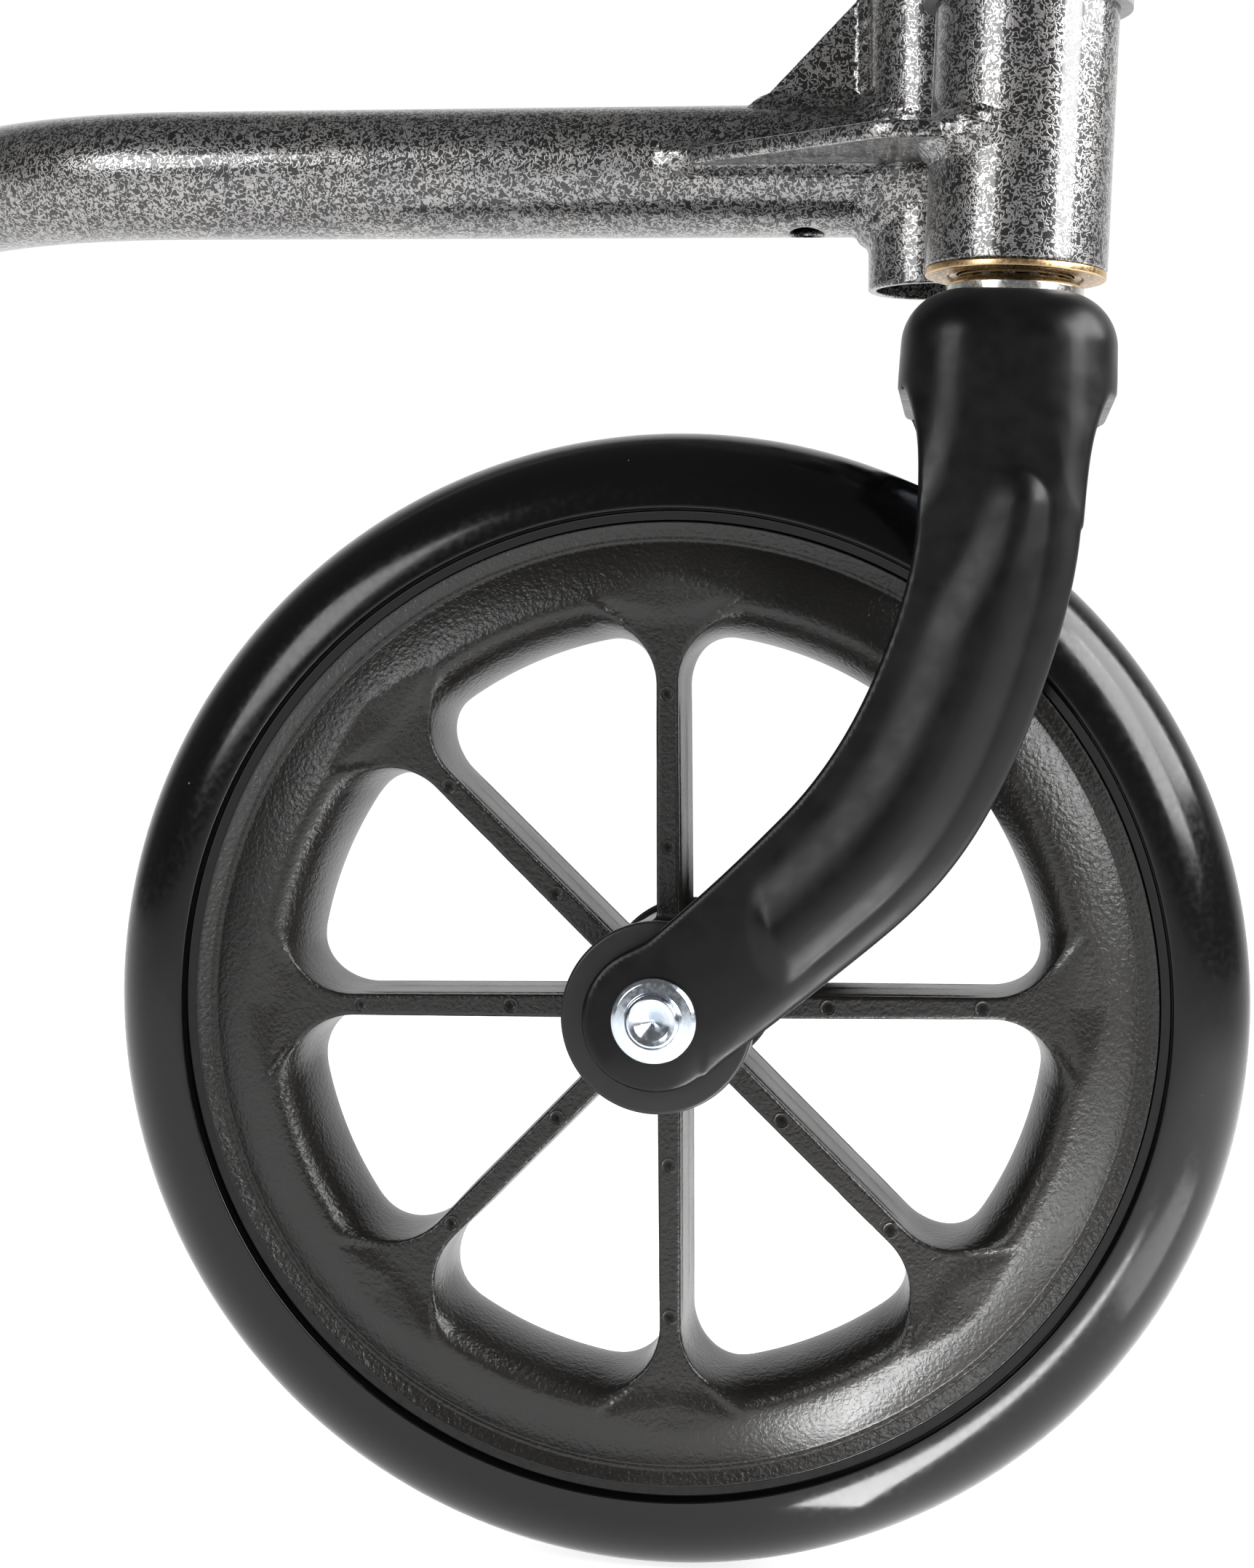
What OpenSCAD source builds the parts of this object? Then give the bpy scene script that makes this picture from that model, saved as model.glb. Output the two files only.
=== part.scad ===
// Front swivel castor of a shopping trolley, with the lower front corner of its tube frame.
// Millimetres. The origin is on the swivel axis, at the bearing face under the castor barrel.
// +X is forwards, +Y is inboard, +Z is up. The wheel trails towards -X.

/* [Castor geometry] */
// Distance of the axle behind the swivel axis
trail = 53.6; // [50:0.2:56]
// Distance of the axle below the bearing face
axle_drop = 128.6; // [126:0.2:134]

/* [Wheel] */
// Tread diameter of the wheel
wheel_d = 200; // [196:1:202]
// Radius of the rounded tyre section
tyre_r = 14; // [13:0.5:14]
// Radius of the seat between the wheel centre and the tyre
seat_r = 84; // [82:0.5:85]
// Outer radius of the spoke openings
opening_r = 64.5; // [62:0.5:66]
// Number of spokes
spokes = 8; // [6:1:10]
// Turn of the wheel from spokes level
wheel_turn = 2.8; // [0:0.1:45]
// Depth of a spoke along the axle
spoke_depth = 30; // [26:1:30]

/* [Hub] */
// Radius of the hub barrel
hub_r = 15; // [14:0.5:15]
// Length of the hub barrel
hub_l = 60; // [58:1:60]
// Radius of the dust discs on the hub ends
disc_r = 16.2; // [15.5:0.1:17]

/* [Fork] */
// Sheet thickness of the pressed fork
sheet = 3; // [2.5:0.5:3]
// Outside width of the fork across its legs
fork_w = 72; // [72:1:76]
// Length of the crown, front to back
crown_l = 36.2; // [34:0.2:38]
// Height of the crown's top below the bearing face
crown_top = 5.3; // [5.3:0.1:5.8]
// Depth of the crown's skirt below the bearing face
skirt_z = 22.5; // [20:0.5:24]
// Width of a leg at its top
leg_w = 26.6; // [25:0.2:28]
// Height of the long pressed rib on each leg
rib_h = 2.2; // [1.5:0.1:3]

/* [Barrel] */
// Outside diameter of the castor barrel
barrel_d = 31.7; // [31:0.1:32]
// Height of the barrel's upper face
barrel_top = 48; // [46:0.5:52]
// Bore diameter of the barrel
barrel_bore = 26; // [26:0.1:26.4]

/* [Frame tubes] */
// Outside diameter of both frame tubes
tube_d = 24; // [23:0.5:24]
// Wall thickness of both frame tubes
tube_wall = 1.5; // [1.2:0.1:2]
// Length of the front upright
upright_l = 105; // [80:1:140]
// Straight length of the lower rail
rail_l = 142; // [120:1:160]
// Radius of the lower rail's rear bend
bend_r = 80; // [60:1:100]
// Angle of the lower rail's rear bend
bend_a = 35; // [20:1:60]
// Straight length behind the bend
stub_l = 20; // [15:1:40]

/* [Hidden] */
$fn = 64;

// Frame tube places
upright_foot = [-14.4, 23.95, 0.8];
upright_lean = 2.4;
rail_start = [-15.3, 25.4, 23.0];
rail_turn = [0, -1.1, -3.5];
vent_r = 3.3;
vent_x = 23;
vent_turn = 8;

// Plates and welds
plate_t = 3;
plate_z = 22.2;
plate_tip = [-62.3, 16.3];
plate_knee = [-27, -10.6];
plate_knee_r = 11;
plate_edge_a = 37.5;
gusset_y = 24.9;
gusset_low = [-46, 34.5];
gusset_high = [-28.6, 54.5];
gusset_corner = [-20, 30];
bead = 1.5;
barrel_beads = [[-14.6, 9.3], [-0.6, 18.2]];
barrel_bead_r = 2;
barrel_bead_l = 42;

// Head bearings: one row of balls, mirrored about the middle of the barrel
cup_flange = 1.4;
cup_flange_r = 15.7;
cup_mouth_r = 11.8;
cup_shelf_r = 8;
cup_top = 8.2;
race_gap = 0.045;
head_ball_r = 2.38;
head_pitch_r = 9.2;
head_ball_z = 4.4;
head_balls = 11;
collar_r = 2.6;
collar_pitch_r = 8.9;
cone_neck_r = 9.4;
stem_r = 6;
stem_top = 68;
stem_head_r = 10;
stem_head_h = 5;
stem_washer_t = 2;
lock_nut_flats = 21.9;
lock_nut_h = 8;
cap_lip_r = 18.1;
cap_z = 46.9;
cap_top = 71.5;
cap_wall = 2;
cap_round = 3;

// Axle and wheel bearings
axle_r = 4;
bolt_flange_r = 7.2;
bolt_ring_r = 4.5;
bearing_w = 7;
bearing_r = 11;
race_out_r = 9.1;
race_in_r = 5.9;
wheel_ball_r = 1.985;
wheel_pitch_r = 7.5;
wheel_balls = 7;
disc_t = 2;
leg_in = fork_w / 2 - sheet;
leg_out = fork_w / 2;
axle_x = -trail;
axle_z = -axle_drop;

// Fork leg: an arc about a point behind the leg, then a straight stretch to the axle
crown_x = -0.6;
skirt_r = 8;
arc_x = crown_x - leg_w / 2 - 70;
arc_z = -44.5;
arc_in = 70;
arc_out = arc_in + leg_w - 1;
leg_end_r = 12.2;
sweep_a = 45;
sweep_dir = [-cos(sweep_a), -sin(sweep_a)];

// Spokes and rim
flange_y = 12.2;
spoke_w = 3;
web_w = 1.8;
spoke_lip = 3.4;
corner_r = 8;
flare_r = 75;
flare_w = 18;
flare_end = 11;

// Points of an arc about c, from angle a to angle b
function arc(c, r, a, b, n = 16) =
    [for (i = [0 : n]) let (t = a + (b - a) * i / n) c + r * [cos(t), sin(t)]];

// Places a child drawn with +Z along the axle, +Z towards inboard
module on_axle() {
    translate([axle_x, 0, axle_z]) rotate([-90, 0, 0]) children();
}

// A flat outline drawn in X and Z, spread along Y from y0 to y1
module side_plate(y0, y1) {
    translate([0, y1, 0]) rotate([90, 0, 0]) linear_extrude(y1 - y0) children();
}

// A rectangle with true round corners, about the origin
module round_rect(w, h, r) {
    square([w - 2 * r, h], center = true);
    square([w, h - 2 * r], center = true);
    for (x = [-1, 1], y = [-1, 1]) translate([x * (w / 2 - r), y * (h / 2 - r)]) circle(r);
}

// A ring of square section
module ring(r_in, r_out, h) {
    difference() {
        cylinder(r = r_out, h = h);
        translate([0, 0, -1]) cylinder(r = r_in, h = h + 2);
    }
}

// Both ends of a head bearing: the child is drawn for the lower one
module at_upper_end() {
    translate([0, 0, barrel_top + cup_flange]) mirror([0, 0, 1]) children();
}

// ---------- frame ----------

module upright_solid(d, extra = 0) {
    translate(upright_foot) rotate([0, -upright_lean, 0]) translate([0, 0, -extra])
        cylinder(d = d, h = upright_l + 2 * extra);
}

module on_rail() {
    translate(rail_start) rotate(rail_turn) children();
}

module rail_solid(d) {
    on_rail() rotate([0, -90, 0]) cylinder(d = d, h = rail_l);
}

module barrel_solid(r) {
    translate([0, 0, cup_flange]) cylinder(r = r, h = barrel_top - cup_flange);
}

// Straight run, rear bend and stub. The bend is a hair thinner and runs into both neighbours
module lower_rail() {
    r = tube_d / 2;
    hair = 0.02;
    lap = 0.5;
    color("dimgray") difference() {
        on_rail() {
            rotate([0, -90, 0]) ring(r - tube_wall, r, rail_l);
            translate([-rail_l, bend_r, 0]) {
                rotate([0, 0, -90 - bend_a - lap]) rotate_extrude(angle = bend_a + 2 * lap)
                    translate([bend_r, 0]) difference() {
                        circle(r - hair);
                        circle(r - tube_wall + hair);
                    }
                rotate([0, 0, -bend_a]) translate([0, -bend_r, 0]) rotate([0, -90, 0])
                    ring(r - tube_wall, r, stub_l);
            }
        }
        upright_solid(tube_d, 1);
        on_rail() translate([-vent_x, 0, 0]) rotate([180 - vent_turn, 0, 0])
            cylinder(r = vent_r, h = tube_d);
    }
}

module front_upright() {
    color("dimgray") difference() {
        upright_solid(tube_d);
        upright_solid(tube_d - 2 * tube_wall, 1);
    }
}

module gusset_outline() {
    toe = 1.5;
    polygon([[gusset_low[0] - toe, gusset_corner[1]], [gusset_low[0] - toe, gusset_low[1]],
        [gusset_high[0], gusset_high[1] + toe], [gusset_corner[0], gusset_high[1] + toe],
        gusset_corner]);
}

module corner_gusset() {
    color("dimgray") difference() {
        side_plate(gusset_y - plate_t / 2, gusset_y + plate_t / 2) gusset_outline();
        rail_solid(tube_d);
        upright_solid(tube_d);
    }
}

// The curved plate that ties the rail and the upright to the barrel
module bracket_outline() {
    knee = plate_knee + plate_knee_r * [sin(plate_edge_a), cos(plate_edge_a)];
    polygon(concat(
        [[-66, 19.2], plate_tip],
        arc(knee, plate_knee_r, -90 - plate_edge_a, -90, 10),
        [[0, knee[1] - plate_knee_r], [0, 0], [upright_foot[0], upright_foot[1]], [-60, 28]]));
}

module bracket_slab(grow = 0) {
    translate([0, 0, plate_z - grow]) rotate([0, rail_turn[1], 0])
        linear_extrude(plate_t + 2 * grow) bracket_outline();
}

module bracket_plate() {
    color("dimgray") difference() {
        bracket_slab();
        rail_solid(tube_d);
        upright_solid(tube_d, 1);
        barrel_solid(barrel_d / 2);
    }
}

module castor_barrel() {
    color("dimgray") difference() {
        barrel_solid(barrel_d / 2);
        translate([0, 0, -1]) cylinder(d = barrel_bore, h = barrel_top + 2);
    }
}

// Saddle bead where the rail meets the upright
module rail_weld() {
    color("gray") difference() {
        intersection() {
            rail_solid(tube_d + 2 * bead);
            upright_solid(tube_d + 2 * bead);
        }
        rail_solid(tube_d);
        upright_solid(tube_d);
        rail_solid(tube_d - 2 * tube_wall);
        corner_gusset();
        bracket_slab();
        barrel_solid(barrel_d / 2);
    }
}

// Four beads in the corners of the gusset
module gusset_welds() {
    color("gray") difference() {
        for (side = [-1, 1]) translate([0, gusset_y + side * plate_t / 2, 0]) {
            translate([gusset_low[0], 0, gusset_low[1]]) rotate([0, 90 + rail_turn[1], 0])
                cylinder(r = bead, h = gusset_high[0] - gusset_low[0] - bead);
            translate([gusset_high[0], 0, gusset_low[1] + bead]) rotate([0, -upright_lean, 0])
                cylinder(r = bead, h = gusset_high[1] - gusset_low[1] - bead);
        }
        corner_gusset();
        rail_solid(tube_d);
        upright_solid(tube_d);
        rail_weld();
    }
}

// Beads between the barrel, the upright and the bracket plate
module barrel_welds() {
    color("gray") difference() {
        union() {
            for (spot = barrel_beads) translate([spot[0], spot[1], cup_flange + bead])
                cylinder(r = barrel_bead_r, h = barrel_bead_l);
            intersection() {
                translate([0, 0, plate_z - 2 * plate_t])
                    ring(barrel_d / 2 - 1, barrel_d / 2 + bead, 5 * plate_t);
                bracket_slab(bead);
            }
        }
        bracket_slab();
        barrel_solid(barrel_d / 2);
        upright_solid(tube_d);
        rail_solid(tube_d);
        rail_weld();
    }
}

// ---------- head bearings ----------

module cup_outline() {
    difference() {
        union() {
            translate([cup_mouth_r, 0]) square([cup_flange_r - cup_mouth_r, cup_flange]);
            translate([cup_mouth_r, 0]) square([barrel_bore / 2 - cup_mouth_r, cup_top]);
            translate([cup_shelf_r, head_ball_z])
                square([barrel_bore / 2 - cup_shelf_r, cup_top - head_ball_z]);
        }
        translate([head_pitch_r, head_ball_z]) circle(head_ball_r + race_gap);
    }
}

module lower_bearing_cup() {
    color("goldenrod") rotate_extrude() cup_outline();
}

module upper_bearing_cup() {
    color("goldenrod") at_upper_end() rotate_extrude() cup_outline();
}

module cone_outline() {
    difference() {
        union() {
            translate([stem_r, -crown_top]) square([cone_neck_r - stem_r, head_ball_z + crown_top]);
            translate([stem_r, -crown_top]) square([collar_pitch_r - stem_r, 2 * collar_r]);
            translate([collar_pitch_r, collar_r - crown_top]) circle(collar_r);
        }
        translate([head_pitch_r, head_ball_z]) circle(head_ball_r + race_gap);
    }
}

module lower_bearing_cone() {
    color("silver") rotate_extrude() cone_outline();
}

module upper_bearing_cone() {
    color("silver") at_upper_end() rotate_extrude() cone_outline();
}

module ball_row(n, pitch, r) {
    for (i = [0 : n - 1]) rotate(i * 360 / n) translate([pitch, 0, 0]) sphere(r, $fn = 32);
}

module head_bearing_balls() {
    color("silver") {
        translate([0, 0, head_ball_z]) ball_row(head_balls, head_pitch_r, head_ball_r);
        at_upper_end() translate([0, 0, head_ball_z])
            ball_row(head_balls, head_pitch_r, head_ball_r);
    }
}

// The cap is notched where it passes the upright
module dust_cap() {
    shoulder = cap_lip_r - cap_round;
    gap = 0.05;
    notch = 0.6;
    color("gray") difference() {
        rotate_extrude() difference() {
            union() {
                translate([0, cap_z]) square([cap_lip_r, cap_top - cap_round - cap_z]);
                translate([0, cap_z]) square([shoulder, cap_top - cap_z]);
                translate([shoulder, cap_top - cap_round]) circle(cap_round);
            }
            translate([0, cap_z - 1])
                square([barrel_d / 2 + gap, cap_top - cap_wall - cap_z + 1]);
        }
        upright_solid(tube_d + notch, 1);
    }
}

module stem_bolt() {
    color("silver") {
        translate([0, 0, -crown_top - sheet - stem_head_h])
            cylinder(r = stem_head_r, h = stem_head_h);
        translate([0, 0, -crown_top - sheet])
            cylinder(r = stem_r, h = stem_top + crown_top + sheet);
    }
}

module stem_washer() {
    color("silver") at_upper_end() translate([0, 0, -crown_top - stem_washer_t])
        ring(stem_r, stem_head_r + 1, stem_washer_t);
}

module stem_lock_nut() {
    low = barrel_top + cup_flange + crown_top + stem_washer_t;
    color("silver") translate([0, 0, low]) difference() {
        union() {
            cylinder(d = lock_nut_flats, h = lock_nut_h, $fn = 6);
            cylinder(r = 1.5 * stem_r, h = lock_nut_h + 2.5);
        }
        translate([0, 0, -1]) cylinder(r = stem_r, h = 2 * lock_nut_h);
    }
}

// ---------- fork ----------

// Plan of the crown, drawn in X and Y
module crown_plan(inset) {
    translate([crown_x, 0]) round_rect(crown_l - 2 * inset, fork_w - 2 * inset, skirt_r - inset);
}

// The crown as a block with rounded shoulders, shrunk on all sides by inset
module crown_block(inset, depth) {
    top = -crown_top - inset;
    intersection() {
        translate([0, 0, top - depth]) linear_extrude(depth) crown_plan(inset);
        translate([crown_x, fork_w, top - depth]) rotate([90, 0, 0]) linear_extrude(2 * fork_w)
            round_rect(crown_l - 2 * inset, 2 * depth, skirt_r - inset);
        translate([crown_x - crown_l, 0, top - depth]) rotate([90, 0, 90])
            linear_extrude(2 * crown_l)
                round_rect(fork_w - 2 * inset, 2 * depth, skirt_r + 1 - inset);
    }
}

// Side view of the flare between the skirt and a leg, with concave edges
module flare_outline() {
    half = crown_l / 2 - 0.4;
    low = -33;
    blend = half - leg_w / 2;
    difference() {
        translate([crown_x - half, low]) square([2 * half, -crown_top - low]);
        for (side = [-1, 1]) translate([crown_x + side * half, low]) scale([blend / 10, 1])
            circle(10);
    }
}

// Side view of a leg
module leg_outline() {
    end_in = [arc_x, arc_z] + arc_in * [cos(sweep_a), -sin(sweep_a)];
    end_out = [arc_x, arc_z] + arc_out * [cos(sweep_a), -sin(sweep_a)];
    polygon(concat(
        [[crown_x + leg_w / 2, -30], [crown_x - leg_w / 2, -30]],
        arc([arc_x, arc_z], arc_in, 0, -sweep_a),
        [end_in + 26 * sweep_dir, end_out + 24 * sweep_dir],
        arc([arc_x, arc_z], arc_out, -sweep_a, 0)));
    translate([axle_x, axle_z]) circle(leg_end_r);
    polygon([end_out + 24 * sweep_dir, [axle_x, axle_z - leg_end_r], [axle_x, axle_z],
        end_in + 26 * sweep_dir, end_in]);
}

// Side view of the pressed rib
module rib_outline() {
    r_in = arc_in + 4;
    r_out = arc_out - 5.2;
    c = [arc_x, arc_z];
    tail = 15 * sweep_dir;
    polygon(concat(
        arc([2.4, -39.6], 4.1, 0, 160, 10),
        arc(c, r_in, -4, -sweep_a),
        [c + r_in * [cos(sweep_a), -sin(sweep_a)] + tail * 0.6,
            c + (r_in + 4) * [cos(sweep_a), -sin(sweep_a)] + tail * 1.1,
            c + r_out * [cos(sweep_a), -sin(sweep_a)] + tail],
        arc(c, r_out, -sweep_a, 0)));
}

module fork_shell() {
    color("#1c1c1e") difference() {
        union() {
            intersection() {
                crown_block(0, 40);
                side_plate(-fork_w, fork_w) {
                    translate([-30, -skirt_z]) square([60, 30]);
                    flare_outline();
                }
            }
            for (side = [-1, 1]) {
                y = side < 0 ? -leg_out : leg_in;
                side_plate(y, y + sheet) leg_outline();
                side_plate(side < 0 ? -leg_out - rib_h : leg_out,
                    side < 0 ? -leg_out : leg_out + rib_h) rib_outline();
            }
        }
        crown_block(sheet, 60);
        translate([-30, -leg_in + 5, -50]) cube([60, 2 * leg_in - 10, 50 - skirt_z]);
        translate([0, 0, -40]) cylinder(r = stem_r, h = 50);
        on_axle() translate([0, 0, -50]) cylinder(r = axle_r, h = 100);
    }
}

// ---------- axle and wheel bearings ----------

module axle_bolt() {
    color("lightsteelblue") on_axle() difference() {
        union() {
            translate([0, 0, -leg_out]) cylinder(r = axle_r, h = 2 * leg_out + 11);
            translate([0, 0, -leg_out - 1.6]) cylinder(r1 = bolt_flange_r - 0.6,
                r2 = bolt_flange_r, h = 1.6);
            translate([0, 0, -leg_out - 3.8]) cylinder(r1 = bolt_ring_r - 0.7,
                r2 = bolt_ring_r, h = 2.2);
        }
        translate([0, 0, -leg_out - 3.9]) cylinder(r1 = 3, r2 = 0.4, h = 2.2);
    }
}

module axle_washer() {
    color("silver") on_axle() translate([0, 0, leg_out]) ring(axle_r, 8.4, 1.6);
}

module axle_nut() {
    color("silver") on_axle() translate([0, 0, leg_out + 1.6]) difference() {
        union() {
            cylinder(d = 15, h = 6, $fn = 6);
            cylinder(r = 6, h = 8);
        }
        translate([0, 0, -1]) cylinder(r = axle_r, h = 10);
    }
}

// Collars that keep the inner races off the fork legs
module leg_spacers() {
    color("silver") on_axle() for (side = [-1, 1])
        translate([0, 0, side < 0 ? -leg_in : hub_l / 2]) ring(axle_r, 6, leg_in - hub_l / 2);
}

module race_spacer_tube() {
    half = hub_l / 2 - bearing_w;
    color("silver") on_axle() translate([0, 0, -half]) ring(axle_r, 5.8, 2 * half);
}

// Both wheel bearings: the child is drawn about the middle of one
module both_bearings() {
    on_axle() for (side = [-1, 1]) translate([0, 0, side * (hub_l - bearing_w) / 2])
        mirror([0, 0, side < 0 ? 1 : 0]) children();
}

module race(r_in, r_out) {
    rotate_extrude() difference() {
        translate([r_in, -bearing_w / 2]) square([r_out - r_in, bearing_w]);
        translate([wheel_pitch_r, 0]) circle(wheel_ball_r + race_gap);
    }
}

module inner_races() {
    color("silver") both_bearings() race(axle_r, race_in_r);
}

module outer_races() {
    color("silver") both_bearings() race(race_out_r, bearing_r);
}

module wheel_bearing_balls() {
    color("silver") both_bearings() ball_row(wheel_balls, wheel_pitch_r, wheel_ball_r);
}

// Crown cages: a ring beside the balls with a pocket for each
module wheel_ball_cages() {
    color("peru") both_bearings() difference() {
        translate([0, 0, 0.3]) ring(6.7, 8.3, 2.4);
        ball_row(wheel_balls, wheel_pitch_r, wheel_ball_r + race_gap);
    }
}

module bearing_shields() {
    color("dimgray") both_bearings() for (z = [-1, 1])
        translate([0, 0, z < 0 ? -bearing_w / 2 : bearing_w / 2 - 0.4])
            ring(race_in_r + 0.3, race_out_r, 0.4);
}

module hub_discs() {
    color("#1c1c1e") on_axle() for (side = [-1, 1])
        translate([0, 0, side < 0 ? -hub_l / 2 - disc_t : hub_l / 2]) ring(7.5, disc_r, disc_t);
}

// ---------- wheel ----------

// Section of the moulded rim
module rim_outline() {
    translate([opening_r, -spoke_depth / 2 + 4.5]) square([4, spoke_depth - 9]);
    translate([opening_r + 2.2, spoke_depth / 2 - 4.5]) circle(2.2);
    translate([opening_r + 2.2, -spoke_depth / 2 + 4.5]) circle(2.2);
    translate([opening_r, -4]) square([seat_r - opening_r, 8]);
    translate([seat_r - 5, -flange_y]) square([5, 2 * flange_y]);
}

// One spoke of I section, with a flared foot on each face
module spoke() {
    length = opening_r + 2;
    lip_y = spoke_depth / 2;
    linear_extrude(2 * lip_y, center = true) translate([hub_r - 2, -web_w / 2])
        square([length - hub_r + 2, web_w]);
    for (side = [-1, 1]) translate([0, 0, side * (lip_y - spoke_lip / 2)])
        linear_extrude(spoke_lip, center = true) {
            translate([hub_r - 2, -spoke_w / 2]) square([length - hub_r + 2, spoke_w]);
            difference() {
                intersection() {
                    polygon([[opening_r - corner_r, -spoke_w / 2], [opening_r - corner_r, -flare_w / 2],
                        [opening_r, -flare_w / 2], [flare_r, -flare_end / 2],
                        [flare_r, flare_end / 2], [opening_r, flare_w / 2],
                        [opening_r - corner_r, flare_w / 2], [opening_r - corner_r, spoke_w / 2]]);
                    circle(flare_r - 0.5);
                }
                for (y = [-1, 1])
                    translate([opening_r - corner_r, y * (corner_r + spoke_w / 2)])
                        circle(corner_r);
            }
        }
}

module wheel_centre() {
    color("#26241f") on_axle() difference() {
        union() {
            rotate_extrude() rim_outline();
            for (i = [0 : spokes - 1]) rotate(i * 360 / spokes - wheel_turn) spoke();
            translate([0, 0, -hub_l / 2]) cylinder(r = hub_r, h = hub_l);
        }
        translate([0, 0, -50]) cylinder(r = 8, h = 100);
        for (side = [-1, 1]) translate([0, 0, side < 0 ? -50 : hub_l / 2 - bearing_w])
            cylinder(r = bearing_r, h = 50 - hub_l / 2 + bearing_w);
    }
}

module tyre() {
    color("#101012") on_axle() rotate_extrude() intersection() {
        translate([wheel_d / 2 - tyre_r, 0]) circle(tyre_r);
        translate([seat_r, -tyre_r]) square(2 * tyre_r);
    }
}

lower_rail();
front_upright();
corner_gusset();
bracket_plate();
castor_barrel();
rail_weld();
gusset_welds();
barrel_welds();
lower_bearing_cup();
upper_bearing_cup();
dust_cap();
fork_shell();
stem_bolt();
lower_bearing_cone();
upper_bearing_cone();
stem_washer();
stem_lock_nut();
axle_bolt();
axle_washer();
axle_nut();
leg_spacers();
inner_races();
race_spacer_tube();
head_bearing_balls();
wheel_bearing_balls();
wheel_ball_cages();
wheel_centre();
tyre();
hub_discs();
outer_races();
bearing_shields();
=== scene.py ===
import math

import bmesh
import bpy
import numpy as np
from mathutils import Matrix, Quaternion, Vector


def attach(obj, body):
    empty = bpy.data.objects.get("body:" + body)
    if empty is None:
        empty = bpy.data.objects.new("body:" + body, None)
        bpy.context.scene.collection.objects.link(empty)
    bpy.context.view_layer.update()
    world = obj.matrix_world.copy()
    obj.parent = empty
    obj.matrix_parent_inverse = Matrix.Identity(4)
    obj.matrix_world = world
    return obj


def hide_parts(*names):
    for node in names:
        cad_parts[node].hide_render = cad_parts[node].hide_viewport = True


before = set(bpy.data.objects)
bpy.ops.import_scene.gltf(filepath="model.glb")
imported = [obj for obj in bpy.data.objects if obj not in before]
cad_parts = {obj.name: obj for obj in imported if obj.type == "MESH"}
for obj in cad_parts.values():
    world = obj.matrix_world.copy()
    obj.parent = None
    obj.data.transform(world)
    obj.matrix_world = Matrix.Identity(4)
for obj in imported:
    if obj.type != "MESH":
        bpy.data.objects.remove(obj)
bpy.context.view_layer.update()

# Sizes are in millimetres in the row frame, and MM turns them into metres. The sizes of the
# lamps and the floor are in metres already.
MM = 0.001

# ---------- driving sizes ----------

AXLE = np.array([-53.6, 0.0, -128.6])
WHEEL_TURN = math.radians(2.8)
SPOKES = 8
TREAD_R = 100.0
TYRE_R = 14.0
SEAT_R = 84.0
OPENING_R = 64.9
HUB_R = 15.0
HUB_HALF = 30.0
BORE_R = 8.0
BEARING_R = 11.0
BEARING_W = 7.0
MARK_R = (27.6, 54.0)
DISC_R = 16.2
DISC_BORE = 7.5
DISC_T = 2
# Tyre: centre of its round section, its lips, and its seat on the rim
SECTION_R = 86.0
LIP_R = 86.7
LIP_Y = 13.98
SEAT_Y = 11.0
LEG_IN = 33.0
LEG_OUT = 36.0
BARREL_R = 15.85
BARREL_TOP = 48.0
TUBE_R = 12.0
TUBE_BORE = 10.5
FOOT = np.array([-14.4, 23.95, 0.8])
LEAN = math.radians(2.4)
UPRIGHT_L = 105.0
RAIL_START = np.array([-15.3, 25.4, 23.0])
RAIL_DROP = math.radians(-1.1)
RAIL_YAW = math.radians(-3.5)
RAIL_L = 142.0
BEND_R = 80.0
BEND_A = math.radians(35)
STUB_L = 20.0
# Drain hole in the rail: distance from the start, angle and radius
HOLE_S = 23.0
HOLE_PHI = math.radians(180 + 8)
HOLE_R = 3.3
# The rail's start ends inside the upright's wall, this far from its axis
SADDLE_R = 11.3
CUP_T = 1.4
BARREL_BORE = 13.0


# ---------- small maths ----------


def smooth(x):
    x = np.clip(x, 0.0, 1.0)
    return x * x * (3 - 2 * x)


def round_union(a, b, r):
    return np.maximum(r, np.minimum(a, b)) - np.hypot(np.maximum(r - a, 0), np.maximum(r - b, 0))


def round_cut(a, b, r):
    """Intersection of two fields, with its edge rounded."""
    return np.minimum(-r, np.maximum(a, b)) + np.hypot(np.maximum(r + a, 0), np.maximum(r + b, 0))


def soft_min(a, b, k):
    h = np.maximum(k - np.abs(a - b), 0) / k
    return np.minimum(a, b) - h * h * k / 4


def soft_max(a, b, k):
    return -soft_min(-a, -b, k)


def polygon_field(px, pz, pts):
    """Signed distance to a closed outline, negative inside."""
    pts = np.asarray(pts, float)
    d = np.full(np.shape(px), 1e18)
    sign = np.ones(np.shape(px))
    for i in range(len(pts)):
        ax, az = pts[i]
        bx, bz = pts[i - 1]
        ex, ez = bx - ax, bz - az
        wx, wz = px - ax, pz - az
        k = np.clip((wx * ex + wz * ez) / (ex * ex + ez * ez), 0, 1)
        d = np.minimum(d, (wx - ex * k) ** 2 + (wz - ez * k) ** 2)
        c1, c2, c3 = pz >= az, pz < bz, ex * wz > ez * wx
        sign = np.where((c1 & c2 & c3) | (~c1 & ~c2 & ~c3), -sign, sign)
    return sign * np.sqrt(d)


def arc(cx, cy, r, a, b, n=12):
    t = np.radians(np.linspace(a, b, n + 1))
    return [(cx + r * math.cos(v), cy + r * math.sin(v)) for v in t]


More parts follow.
